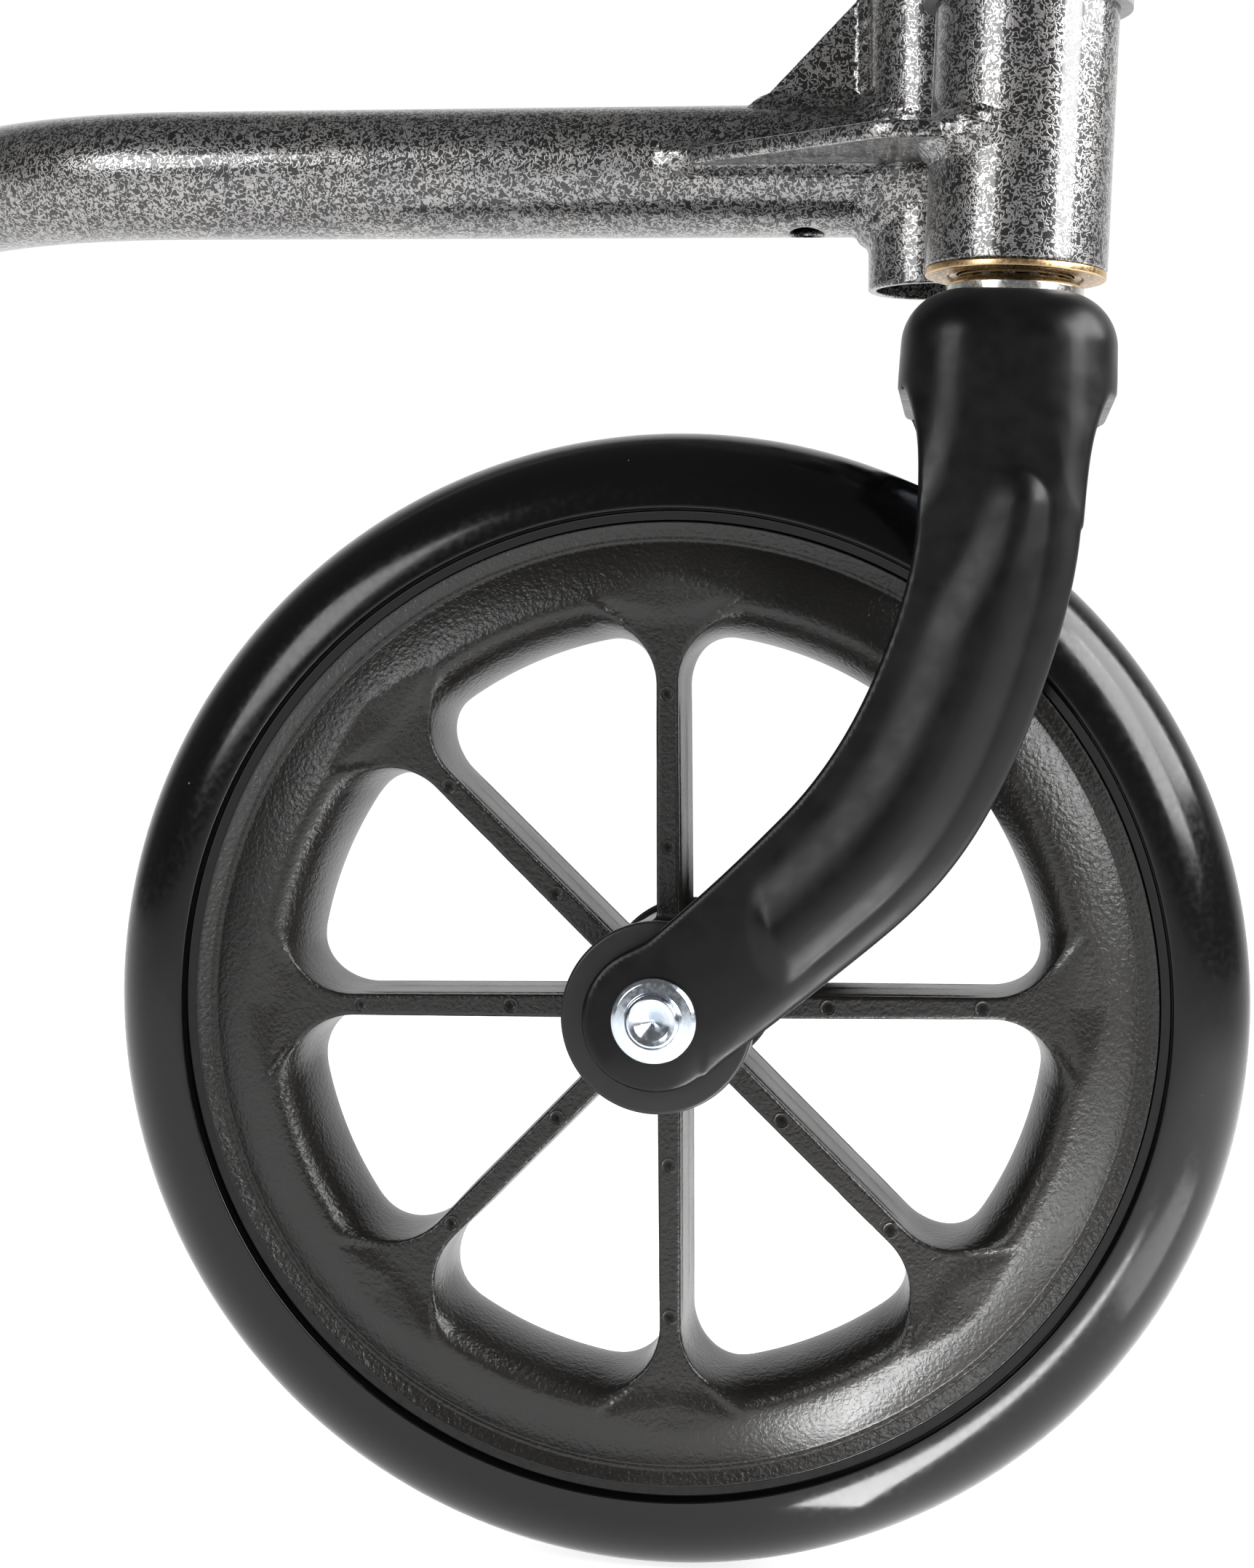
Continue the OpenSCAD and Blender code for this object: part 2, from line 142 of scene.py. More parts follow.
def fillets(points, closed=True, n=5):
    """A polyline of (x, y, radius) with each corner turned into an arc."""
    out = []
    count = len(points)
    for i, (x, y, r) in enumerate(points):
        if r <= 0 or (not closed and i in (0, count - 1)):
            out.append((x, y))
            continue
        p = np.array([x, y])
        a = np.array(points[i - 1][:2]) - p
        b = np.array(points[(i + 1) % count][:2]) - p
        a, b = a / np.linalg.norm(a), b / np.linalg.norm(b)
        half = math.acos(max(-1, min(1, float(a @ b)))) / 2
        cut = r / math.tan(half)
        middle = p + (a + b) / np.linalg.norm(a + b) * r / math.sin(half)
        va, vb = p + a * cut - middle, p + b * cut - middle
        turn = math.atan2(va[0] * vb[1] - va[1] * vb[0], float(va @ vb))
        for k in range(n + 1):
            t = turn * k / n
            c, s = math.cos(t), math.sin(t)
            out.append((middle[0] + va[0] * c - va[1] * s, middle[1] + va[0] * s + va[1] * c))
    return out


# ---------- meshes ----------


def piece(name, verts, faces, material, body, *nodes, weld=0.0, weighted=False):
    """A mesh piece in the row frame. verts in millimetres, faces an array of quads.
    weld joins points closer than that many millimetres; weighted evens the shading of flat faces."""
    verts = np.asarray(verts, np.float64) * MM
    faces = np.asarray(faces, np.int32)
    a, b, c, d = (verts[faces[:, k % faces.shape[1]]] for k in range(4))
    volume = (np.cross(a, b) * c).sum() + (np.cross(a, c) * d).sum()
    if volume < 0:
        faces = faces[:, ::-1]
    mesh = bpy.data.meshes.new(name)
    mesh.vertices.add(len(verts))
    mesh.vertices.foreach_set("co", verts.astype(np.float32).ravel())
    mesh.loops.add(faces.size)
    mesh.loops.foreach_set("vertex_index", faces.ravel())
    mesh.polygons.add(len(faces))
    mesh.polygons.foreach_set("loop_start", np.arange(0, faces.size, faces.shape[1], dtype=np.int32))
    mesh.update(calc_edges=True)
    if weld:
        b = bmesh.new()
        b.from_mesh(mesh)
        bmesh.ops.remove_doubles(b, verts=b.verts, dist=weld * MM)
        b.to_mesh(mesh)
        b.free()
    mesh.validate()
    mesh.polygons.foreach_set("use_smooth", np.ones(len(mesh.polygons), bool))
    obj = bpy.data.objects.new(name, mesh)
    bpy.context.scene.collection.objects.link(obj)
    mesh.materials.append(material)
    if weighted:
        modifier = obj.modifiers.new("normals", "WEIGHTED_NORMAL")
        modifier.keep_sharp = True
    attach(obj, body)
    if nodes:
        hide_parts(*nodes)
    return obj


def joined(parts):
    """Several (verts, faces) as one."""
    verts, faces, base = [], [], 0
    for v, f in parts:
        verts.append(np.asarray(v, float))
        faces.append(np.asarray(f, int) + base)
        base += len(v)
    return np.concatenate(verts), np.concatenate(faces)


def lathe(profile, segments=256, closed=True):
    """A profile of (radius, height) turned about +Z."""
    p = np.array(profile, float)
    t = np.linspace(0, 2 * math.pi, segments, endpoint=False)
    verts = np.stack(
        [
            np.outer(np.cos(t), p[:, 0]),
            np.outer(np.sin(t), p[:, 0]),
            np.broadcast_to(p[:, 1], (segments, len(p))),
        ],
        -1,
    ).reshape(-1, 3)
    n = len(p)
    i = np.arange(segments)[:, None]
    j = np.arange(n if closed else n - 1)[None, :]
    a = i * n + j
    b = ((i + 1) % segments) * n + j
    c = ((i + 1) % segments) * n + (j + 1) % n
    d = i * n + (j + 1) % n
    return verts, np.stack([a, b, c, d], -1).reshape(-1, 4)


def to_axle(verts, side=1):
    """Points drawn about +Z, moved so that +Z runs along the axle, outwards on that side."""
    v = np.asarray(verts, float)
    return np.stack([v[:, 0], side * v[:, 2], v[:, 1] * -side], -1) + AXLE


# Probe length for slopes, longest step, furthest move, and least squared slope
PROBE = 0.02
MAX_STEP = 0.4
MAX_MOVE = 0.9
MIN_SLOPE_SQ = 0.05


def surface_net(field, axes, to_xyz=None, planes=(), passes=5):
    """Quads over field == 0 on a grid, with the points moved onto the surface.
    planes are (axis, first or last cell, point, normal): mirror planes that cut those cells."""
    axes = [np.asarray(a, float) for a in axes]
    to_xyz = to_xyz or (lambda p: p)
    grid = np.stack(np.meshgrid(*axes, indexing="ij"), -1)
    xyz = to_xyz(grid)
    v = field(xyz[..., 0], xyz[..., 1], xyz[..., 2])
    inside = v < 0
    shape = tuple(n - 1 for n in inside.shape)
    total = np.zeros(shape, np.int8)
    corners = [(i, j, k) for i in (0, 1) for j in (0, 1) for k in (0, 1)]
    for i, j, k in corners:
        total += inside[i : i + shape[0], j : j + shape[1], k : k + shape[2]]
    cells = np.argwhere((total > 0) & (total < 8))
    index = np.full(shape, -1, np.int64)
    index[tuple(cells.T)] = np.arange(len(cells))
    sums = np.zeros((len(cells), 3))
    hits = np.zeros(len(cells))
    for axis in range(3):
        for j in (0, 1):
            for k in (0, 1):
                low = [0, 0, 0]
                others = [n for n in range(3) if n != axis]
                low[others[0]], low[others[1]] = j, k
                high = list(low)
                high[axis] = 1
                a = tuple((cells + low).T)
                b = tuple((cells + high).T)
                va, vb = v[a], v[b]
                cross = (va < 0) != (vb < 0)
                t = np.where(cross, va / np.where(cross, va - vb, 1), 0)[:, None]
                sums += np.where(cross[:, None], grid[a] + (grid[b] - grid[a]) * t, 0)
                hits += cross
    p = to_xyz(sums / hits[:, None])

    def f(q):
        return field(q[:, 0], q[:, 1], q[:, 2])

    def snap(q):
        for axis, last, point, normal in planes:
            here = cells[:, axis] == (shape[axis] - 1 if last else 0)
            q[here] -= np.outer((q[here] - point) @ normal, normal)
        return q

    p = snap(p)
    start = p.copy()
    eye = np.eye(3) * PROBE
    for _ in range(passes):
        value = f(p)
        g = np.stack([(f(p + e) - f(p - e)) / (2 * PROBE) for e in eye], -1)
        size = np.maximum((g * g).sum(-1), MIN_SLOPE_SQ)
        move = -(value / size)[:, None] * g
        length = np.linalg.norm(move, axis=1, keepdims=True)
        move *= np.minimum(1, MAX_STEP / np.maximum(length, 1e-9))
        p = snap(p + move)
        away = p - start
        far = np.linalg.norm(away, axis=1, keepdims=True)
        p = start + away * np.minimum(1, MAX_MOVE / np.maximum(far, 1e-9))
    faces = []
    for axis in range(3):
        u, w = [(1, 2), (2, 0), (0, 1)][axis]
        a = [slice(None)] * 3
        b = [slice(None)] * 3
        a[axis], b[axis] = slice(None, -1), slice(1, None)
        for n in (u, w):
            a[n] = b[n] = slice(1, -1)
        low, high = inside[tuple(a)], inside[tuple(b)]
        for flip in (False, True):
            at = np.argwhere((~low & high) if flip else (low & ~high))
            if not len(at):
                continue
            at[:, u] += 1
            at[:, w] += 1
            ring = []
            for du, dw in ((1, 1), (0, 1), (0, 0), (1, 0)):
                c = at.copy()
                c[:, u] -= du
                c[:, w] -= dw
                ring.append(index[tuple(c.T)])
            if flip:
                ring.reverse()
            faces.append(np.stack(ring, -1))
    return p, np.concatenate(faces)


def spread(*runs):
    """Grid positions: (start, end, step) runs joined."""
    out = []
    for a, b, step in runs:
        n = max(1, int(round((b - a) / step)))
        out.extend(a + (b - a) * np.arange(n) / n)
    out.append(runs[-1][1])
    return np.array(out)


# ---------- materials ----------


def material(name, color, roughness, metallic=0.0, coat=0.0, coat_rough=0.05, specular=0.5, slot=None):
    m = bpy.data.materials.new(name)
    m["slot"] = slot or name
    m.use_nodes = True
    shader = m.node_tree.nodes["Principled BSDF"]
    shader.inputs["Base Color"].default_value = (*color, 1)
    shader.inputs["Roughness"].default_value = roughness
    shader.inputs["Metallic"].default_value = metallic
    shader.inputs["Coat Weight"].default_value = coat
    shader.inputs["Coat Roughness"].default_value = coat_rough
    shader.inputs["Specular IOR Level"].default_value = specular
    return m, shader


def add(m, kind, **values):
    n = m.node_tree.nodes.new(kind)
    for key, value in values.items():
        if key in n.inputs:
            n.inputs[key].default_value = value
        else:
            setattr(n, key, value)
    return n


def join(m, a, b):
    m.node_tree.links.new(a, b)


def position(m, scale=1000.0):
    """Texture position in millimetres, fixed to the piece."""
    tex = add(m, "ShaderNodeTexCoord")
    mapping = add(m, "ShaderNodeMapping")
    mapping.inputs["Scale"].default_value = (scale,) * 3
    join(m, tex.outputs["Object"], mapping.inputs["Vector"])
    return mapping.outputs["Vector"]


def ramp(m, source, stops):
    r = add(m, "ShaderNodeValToRGB")
    while len(r.color_ramp.elements) < len(stops):
        r.color_ramp.elements.new(0.5)
    for element, (place, color) in zip(r.color_ramp.elements, stops):
        element.position = place
        element.color = (*color, 1) if len(color) == 3 else color
    join(m, source, r.inputs["Fac"])
    return r.outputs["Color"]


def noise(m, where, scale, detail=2.0, rough=0.5, distortion=0.0):
    n = add(m, "ShaderNodeTexNoise", Scale=scale, Detail=detail, Roughness=rough, Distortion=distortion)
    join(m, where, n.inputs["Vector"])
    return n.outputs["Fac"]


def bump(m, shader, height, strength, distance):
    b = add(m, "ShaderNodeBump", Strength=strength, Distance=distance * MM)
    join(m, height, b.inputs["Height"])
    join(m, b.outputs["Normal"], shader.inputs["Normal"])


def maths(m, kind, a, b=None):
    n = add(m, "ShaderNodeMath", operation=kind)
    for i, value in enumerate((a, b)):
        if value is None:
            continue
        if isinstance(value, (int, float)):
            n.inputs[i].default_value = value
        else:
            join(m, value, n.inputs[i])
    return n.outputs[0]


def vein_coat():
    """Black powder coat broken by fine silver worm-like veins, under a clear gloss."""
    m, shader = material("vein_coat", (0.2, 0.2, 0.2), 0.28, coat=0.6, coat_rough=0.08)
    where = position(m)
    a = noise(m, where, 0.95, 1.5, 0.5, 0.9)
    b = noise(m, where, 2.6, 1.0, 0.5, 0.3)
    ridge = maths(m, "ABSOLUTE", maths(m, "SUBTRACT", a, 0.5))
    ridge = maths(m, "ADD", ridge, maths(m, "MULTIPLY", maths(m, "SUBTRACT", b, 0.5), 0.14))
    tone = noise(m, where, 0.05, 2.0)
    silver = ramp(m, tone, [(0.35, (0.33, 0.32, 0.31)), (0.65, (0.27, 0.265, 0.27))])
    cover = ramp(m, ridge, [(0.048, (1, 1, 1)), (0.064, (0, 0, 0))])
    mix = add(m, "ShaderNodeMix", data_type="RGBA")
    join(m, cover, mix.inputs["Factor"])
    mix.inputs["A"].default_value = (0.003, 0.003, 0.0035, 1)
    join(m, silver, mix.inputs["B"])
    join(m, mix.outputs["Result"], shader.inputs["Base Color"])
    join(m, ramp(m, ridge, [(0.045, (0.8, 0.8, 0.8)), (0.075, (0, 0, 0))]), shader.inputs["Metallic"])
    height = ramp(m, ridge, [(0.02, (1, 1, 1)), (0.09, (0, 0, 0))])
    bump(m, shader, height, 0.3, 0.05)
    return m


def chips(m, shader, where, dark, light):
    """Base colour with a few tiny pale chips and dust specks."""
    spots = add(m, "ShaderNodeTexVoronoi", Scale=0.14)
    join(m, where, spots.inputs["Vector"])
    patch = noise(m, where, 0.11, 1.0)
    size = maths(m, "MULTIPLY", maths(m, "SUBTRACT", patch, 0.5), 0.12)
    mask = maths(m, "LESS_THAN", spots.outputs["Distance"], size)
    mix = add(m, "ShaderNodeMix", data_type="RGBA")
    join(m, mask, mix.inputs["Factor"])
    mix.inputs["A"].default_value = (*dark, 1)
    mix.inputs["B"].default_value = (*light, 1)
    join(m, mix.outputs["Result"], shader.inputs["Base Color"])


def fork_paint():
    m, shader = material("fork_paint", (0.0018, 0.0018, 0.0021), 0.33, specular=0.22)
    where = position(m)
    chips(m, shader, where, (0.0018, 0.0018, 0.0021), (0.16, 0.16, 0.16))
    grain = noise(m, where, 0.22, 3.0)
    join(m, ramp(m, grain, [(0.35, (0.29,) * 3), (0.7, (0.4,) * 3)]), shader.inputs["Roughness"])
    bump(m, shader, noise(m, where, 0.35, 3.0), 0.1, 0.05)
    return m


def plastic_grain():
    """Moulded black with a fine leather grain."""
    m, shader = material("wheel_plastic", (0.006, 0.0053, 0.0048), 0.34, specular=0.4)
    where = position(m)
    voronoi = add(m, "ShaderNodeTexVoronoi", Scale=1.25, feature="SMOOTH_F1")
    wobble = noise(m, where, 1.1, 2.0, 0.5, 1.2)
    join(m, where, voronoi.inputs["Vector"])
    height = maths(m, "ADD", maths(m, "MULTIPLY", voronoi.outputs["Distance"], 0.7), wobble)
    bump(m, shader, height, 0.6, 0.18)
    rub = noise(m, where, 0.06, 2.0)
    join(m, ramp(m, rub, [(0.4, (0.31,) * 3), (0.7, (0.38,) * 3)]), shader.inputs["Roughness"])
    return m


def tyre_rubber():
    m, shader = material("tyre_rubber", (0.0018, 0.0018, 0.0021), 0.18, specular=0.3)
    where = position(m)
    chips(m, shader, where, (0.0018, 0.0018, 0.0021), (0.12, 0.12, 0.12))
    speck = noise(m, where, 0.8, 3.0)
    rough = ramp(m, speck, [(0.4, (0.15,) * 3), (0.75, (0.24,) * 3)])
    join(m, rough, shader.inputs["Roughness"])
    bump(m, shader, noise(m, where, 0.05, 2.0), 0.06, 0.6)
    return m


VEIN = vein_coat()
FORK = fork_paint()
PLASTIC = plastic_grain()
TYRE = tyre_rubber()


def plate_metal(name, color, roughness, fine, slot=None):
    """Plated or ground metal with faint rubbing marks."""
    m, shader = material(name, color, roughness, metallic=1.0, slot=slot)
    where = position(m)
    marks = noise(m, where, fine, 3.0)
    low, high = roughness * 0.75, roughness * 1.45
    join(m, ramp(m, marks, [(0.35, (low,) * 3), (0.7, (high,) * 3)]), shader.inputs["Roughness"])
    bump(m, shader, noise(m, where, 2.0, 2.0), 0.08, 0.05)
    return m


def grey_plastic(name, color, roughness):
    """Smooth moulded plastic with a slight surface bloom."""
    m, shader = material(name, color, roughness, specular=0.35)
    where = position(m)
    cloud = noise(m, where, 0.3, 3.0)
    join(m, ramp(m, cloud, [(0.35, (roughness * 0.85,) * 3), (0.7, (roughness * 1.2,) * 3)]),
         shader.inputs["Roughness"])
    bump(m, shader, noise(m, where, 1.5, 2.0), 0.1, 0.06)
    return m


ZINC = plate_metal("zinc", (0.55, 0.6, 0.66), 0.2, 1.2)
CUP = plate_metal("cup_zinc", (0.52, 0.36, 0.19), 0.27, 1.5)
CONE = plate_metal("cone_zinc", (0.6, 0.6, 0.57), 0.2, 1.5, slot="zinc")
STEEL = plate_metal("bearing_steel", (0.55, 0.55, 0.56), 0.2, 2.0)
BRASS = plate_metal("cage_brass", (0.6, 0.42, 0.16), 0.3, 2.0)
CAP = grey_plastic("cap_grey", (0.16, 0.16, 0.165), 0.45)
DISC = grey_plastic("disc_plastic", (0.006, 0.006, 0.0065), 0.4)

# ---------- wheel centre ----------

FLANGE_Y = 13.2
CREST_Y = 15.2
CREST_R = 71.3
VALLEY_R = 80.6
VALLEY_Y = 11.3
RIM_END_R = 83.8
FILLET = 9.3
SPOKE_HALF = 2.25
HORN = math.radians(98)
# Centre of the round corner between a spoke and the rim
CORNER_T = SPOKE_HALF - 0.25 + FILLET
CORNER_U = math.sqrt((OPENING_R - FILLET) ** 2 - CORNER_T**2)


def ellipse_field(run, height, deep, a):
    """Roll from the edge: deep is the way in from the edge, a the height over the mid plane."""
    short = np.maximum(run - deep, 0) / run
    tall = a / height
    return (short**2 + tall**2 - 1) / (2 * np.hypot(short / run, tall / height) + 1e-6)


def wheel_field(u, t, y):
    """One wedge of the wheel centre: u along the spoke, t across it, y along the axle."""
    t, a = np.abs(t), np.abs(y)
    r = np.hypot(u, t)
    width = SPOKE_HALF - 0.15 * np.clip((u - 16) / 48, 0, 1)
    # a groove behind each face and a parting ridge at mid depth
    line = 0.16 * np.exp(-((a / 0.9) ** 2)) - 0.32 * np.exp(-(((a - 10.7) / 0.5) ** 2))
    width = width + line * (1 - smooth((u - 48) / 8))
    plan = round_union(OPENING_R - r, t - width, FILLET)
    # turn runs from 0 along the spoke to 1 at the horn where the rim's roll begins
    turn = np.clip(np.arctan2(u - CORNER_U, CORNER_T - t) / HORN, 0, 1)
    run = 0.38 + 6.2 * turn**2.6
    roll = ellipse_field(run, FLANGE_Y + (CREST_Y - FLANGE_Y) * turn**1.5, -plan, a)
    foot = 1.95 + 0.057 * np.maximum(u - 57, 0) ** 2
    ramp_y = FLANGE_Y + 0.03 * np.maximum(u - 57, 0) + 0.05 * np.maximum(u - 65.5, 0) ** 2
    delta = ramp_y + 1.4 * np.maximum(t - foot, 0)
    x = np.maximum(r - CREST_R, 0)
    cone = CREST_Y - 0.25 * x - 0.02 * x * x
    outer = VALLEY_Y + 0.56 * np.maximum(r - VALLEY_R - 0.5, 0)
    outer = outer + 0.25 * np.exp(-(((r - VALLEY_R - 0.25) / 0.22) ** 2))
    top = np.maximum(soft_min(cone, delta, 0.9), outer)
    body = soft_max(roll, a - top, 0.35)
    body = round_cut(body, r - RIM_END_R, 0.35)
    hub = np.maximum(r - HUB_R, a - HUB_HALF)
    body = round_union(body, hub, 1.2)
    seat = np.maximum(r - BEARING_R, HUB_HALF - BEARING_W - a)
    return np.maximum(body, -np.minimum(r - BORE_R, seat))


def wheel_centre():
    half = math.pi / SPOKES
    cells = 38
    step = half / cells
    theta = (np.arange(cells + 2) - 0.5) * step
    radius = spread((6.5, 13.0, 1.6), (13.0, 19.0, 0.8), (19.0, 55.0, 2.4), (55.0, 79.0, 0.7),
                    (79.0, 84.4, 0.34))
    depth = np.concatenate([[-0.6], spread((0.6, 9.0, 1.4), (9.0, 16.2, 0.6), (16.2, 31.2, 1.9))])

    def to_xyz(p):
        return np.stack([p[..., 0] * np.cos(p[..., 1]), p[..., 0] * np.sin(p[..., 1]), p[..., 2]], -1)

    planes = [
        (1, False, np.zeros(3), np.array([0.0, 1.0, 0.0])),
        (1, True, np.zeros(3), np.array([-math.sin(half), math.cos(half), 0.0])),
        (2, False, np.zeros(3), np.array([0.0, 0.0, 1.0])),
    ]
    v, f = surface_net(wheel_field, (radius, theta, depth), to_xyz, planes)
    parts = []
    for k in range(SPOKES):
        a = WHEEL_TURN + k * 2 * half
        c, s = math.cos(a), math.sin(a)
        for flip in (1, -1):
            x = v[:, 0] * c - flip * v[:, 1] * s
            z = v[:, 0] * s + flip * v[:, 1] * c
            for side in (1, -1):
                w = np.stack([x, side * v[:, 2], z], -1) + AXLE
                parts.append((w, f[:, ::-1] if flip * side > 0 else f))
    verts, faces = joined(parts)
    return piece("wheel_centre", verts, faces, PLASTIC, "wheel", "wheel_centre", weld=0.02)


def ejector_marks():
    """Small round marks of the mould's ejector pins on the spoke faces."""
    ring = fillets([(0, -0.2, 0), (0, 0.0, 0), (1.1, 0.0, 0.1), (1.27, 0.1, 0.05), (1.42, 0.08, 0.05),
                    (1.5, -0.2, 0)], closed=False, n=2)
    v, f = lathe(ring, 28, closed=False)
    parts = []
    for k in range(SPOKES):
        a = WHEEL_TURN + k * 2 * math.pi / SPOKES
        for out in MARK_R:
            for side in (1, -1):
                w = v + [out * math.cos(a), out * math.sin(a), FLANGE_Y]
                parts.append((np.stack([w[:, 0], side * w[:, 2], w[:, 1]], -1) + AXLE, f[:, :: -side]))
    return piece("ejector_marks", *joined(parts), PLASTIC, "wheel")


def tyre():
    a0 = math.degrees(math.acos((LIP_R - SECTION_R) / TYRE_R))
    edge = [(SEAT_R, 0, 0), (SEAT_R, SEAT_Y, 0.2), (85.8, SEAT_Y, 0.3), (86.05, LIP_Y, 0.3),
            (LIP_R, LIP_Y, 0)]
    lip = fillets(edge, closed=False, n=4)[:-1]
    crown = arc(SECTION_R, 0, TYRE_R, a0, -a0, 72)
    low = [(r, -y) for r, y in lip[::-1]][:-1]
    profile = lip + crown + low
    v, f = lathe(profile, 384)
    return piece("tyre", to_axle(v), f, TYRE, "wheel", "tyre")


def hub_discs():
    parts = []
    for side in (1, -1):
        p = fillets([(DISC_BORE, HUB_HALF, 0.3), (DISC_R, HUB_HALF, 0.4), (DISC_R, HUB_HALF + DISC_T, 0.7),
                     (DISC_BORE, HUB_HALF + DISC_T, 0.3)])
        v, f = lathe(p, 192)
        parts.append((to_axle(v, side), f))
    return piece("hub_discs", *joined(parts), DISC, "wheel", "hub_discs")


# ---------- fork ----------

CROWN = np.array([-0.6, 0.0])
CROWN_HALF_X = 18.1
CROWN_HALF_Y = 36.0
CROWN_TOP = -5.3
CROWN_PLAN_R = 13.0
SKIRT_Z = -22.5
LEG_TOP_Z = -20.0
SHEET = 3.0
ARC = np.array([-83.9, -44.5])
ARC_IN = 70.0
ARC_OUT = 95.6
LEG_END_R = 12.2
RIB_H = 2.2
S45 = math.sqrt(0.5)
# Distance along the leg's arc is measured near the middle of its band
RUN_SCALE = 1.18
RUN_END = ARC_IN * math.pi / 4 * RUN_SCALE


def crown_box(x, y, z, inset):
    """Rounded block of the crown, shrunk by inset, open downwards."""
    r_plan = CROWN_PLAN_R - inset * 0.6
    taper = 0.035 * np.clip(z - LEG_TOP_Z, 0, None)
    qx = np.abs(x - CROWN[0]) - (CROWN_HALF_X - inset - taper - r_plan)
    qy = np.abs(y) - (CROWN_HALF_Y - inset - 0.4 * taper - r_plan)
    plan = np.hypot(np.maximum(qx, 0), np.maximum(qy, 0)) + np.minimum(np.maximum(qx, qy), 0) - r_plan
    return round_cut(plan, z - (CROWN_TOP - inset), 9.0 - inset * 0.8)


def corner_sag(x, z):
    """How far a leg's face falls back beside its middle: the crown's round corner, fading downwards."""
    side = np.clip(np.abs(x - CROWN[0]) - (CROWN_HALF_X - CROWN_PLAN_R), 0, 0.9 * CROWN_PLAN_R)
    round_off = CROWN_PLAN_R - np.sqrt(CROWN_PLAN_R**2 - side * side)
    return round_off * (1 - smooth((SKIRT_Z - z) / 32))


def leg_coordinates(x, z):
    """Distance across the leg's band from its arc centre, and distance run along it."""
    sway = np.exp(-(((z + 105) / 14) ** 2)) - 1.2 * np.exp(-(((z + 68) / 20) ** 2))
    qx, qz = x - ARC[0] - sway, z - ARC[1]
    radius = np.hypot(qx, qz)
    angle = np.arctan2(-qz, qx)
    across_low = (qx - qz) * S45
    run_low = (-qx - qz) * S45 + RUN_END
    across = np.where(z > ARC[1], qx, np.where(angle > math.pi / 4, across_low, radius))
    run = np.where(z > ARC[1], -qz, np.where(angle > math.pi / 4, run_low, angle * ARC_IN * RUN_SCALE))
    return across, run


def leg_outline(x, z):
    across, run = leg_coordinates(x, z)
    outer = ARC_OUT + 1.0 * (1 - smooth(run / RUN_END))
    s = run - RUN_END
    band = np.maximum(ARC_IN - across, across - outer)
    taper_a = math.radians(6.3)
    line = (s - 16) * math.sin(taper_a) + (across - ARC_OUT) * math.cos(taper_a)
    band = soft_max(band, line, 2.0)
    band = np.maximum(band, s - 38)
    band = np.maximum(band, z - LEG_TOP_Z)
    end = np.hypot(x - AXLE[0], z - AXLE[2]) - LEG_END_R
    return soft_min(band, end, 1.5)


def face_crown(x, z):
    """Slight roundness of a leg's face from its middle to its edges."""
    across = leg_coordinates(x, z)[0]
    middle = (ARC_IN + ARC_OUT) / 2
    return 0.9 * np.clip((across - middle) / 14, -1, 1) ** 2 * smooth((SKIRT_Z - z) / 10)


def edge_roll(x, z):
    """How far the sheet curls back towards the leg's front edge."""
    across = leg_coordinates(x, z)[0]
    deep = np.clip(-leg_outline(x, z) / 5.5, 0, 1)
    return 1.5 * (1 - deep) ** 2 * smooth((across - 80) / 8) * smooth((SKIRT_Z - 4 - z) / 14)


def rib_height(x, z):
    across, run = leg_coordinates(x, z)
    s = run - RUN_END
    inside = -round_cut(across - 91.2, -9.0 - run, 6.0)
    wall = np.sin(math.pi / 2 * np.clip(inside / 6.5, 0, 1))
    left = smooth((across - 79.0 + 6.0 * smooth((run + 9) / 30)) / 11.0)
    end_at = 20.0 - 0.03 * (across - 88.5) ** 2
    return RIB_H * wall * left * smooth((end_at - s) / 5.0)


def fork_field(x, y, z):
    y = np.abs(y)
    shell = np.maximum(crown_box(x, y, z, 0.0), -crown_box(x, y, z, SHEET))
    shell = round_cut(shell, SKIRT_Z - z, 0.7)
    # below the skirt each leg narrows in a curve to its own width
    waist = 12.6 + 4.2 * np.exp(-np.clip((SKIRT_Z - z) / 9.0, 0, 4))
    flare = np.maximum(np.abs(x - CROWN[0]) - waist, np.maximum(-44 - z, z - LEG_TOP_Z))
    outline = soft_min(leg_outline(x, z), flare, 1.5)
    lift = rib_height(x, z)
    sag = np.maximum(corner_sag(x, z), face_crown(x, z)) + edge_roll(x, z)
    sheet = np.maximum(y - (LEG_OUT + lift - sag), (LEG_IN + 0.92 * lift - sag) - y)
    return np.minimum(shell, round_cut(outline, sheet, 0.7))


def fork_shell():
    step = 0.68
    xs = spread((-67.0, 19.0, step))
    ys = np.concatenate([[-0.6], spread((0.6, 24.6, 1.5), (24.6, 39.2, 0.6))])
    zs = spread((-142.0, -4.6, step))
    v, f = surface_net(fork_field, (xs, ys, zs), None, [(1, False, np.zeros(3), np.array([0.0, 1.0, 0.0]))])
    parts = [(v, f), (v * [1, -1, 1], f[:, ::-1])]
    verts, faces = joined(parts)
    return piece("fork_shell", verts, faces, FORK, "fork", "fork_shell", weld=0.02)


def axle_bolt():
    head = LEG_OUT
    p = [
        (0, head + 1.6, 0), (0.4, head + 1.6, 0.1), (3.0, head + 3.6, 0.25), (4.0, head + 3.9, 0.35),
        (4.5, head + 3.2, 0.5), (4.7, head + 1.7, 0.35), (6.4, head + 1.5, 0.6), (7.2, head + 0.9, 0.5),
        (7.0, head - 0.02, 0), (4.0, head - 0.02, 0), (4.0, -LEG_OUT - 10.5, 0.4), (0, -LEG_OUT - 11, 0),
    ]
    v, f = lathe(fillets(p, closed=False, n=5), 128, closed=False)
    return piece("axle_bolt", to_axle(v, -1), f, ZINC, "fork", "axle_bolt")


# ---------- frame ----------


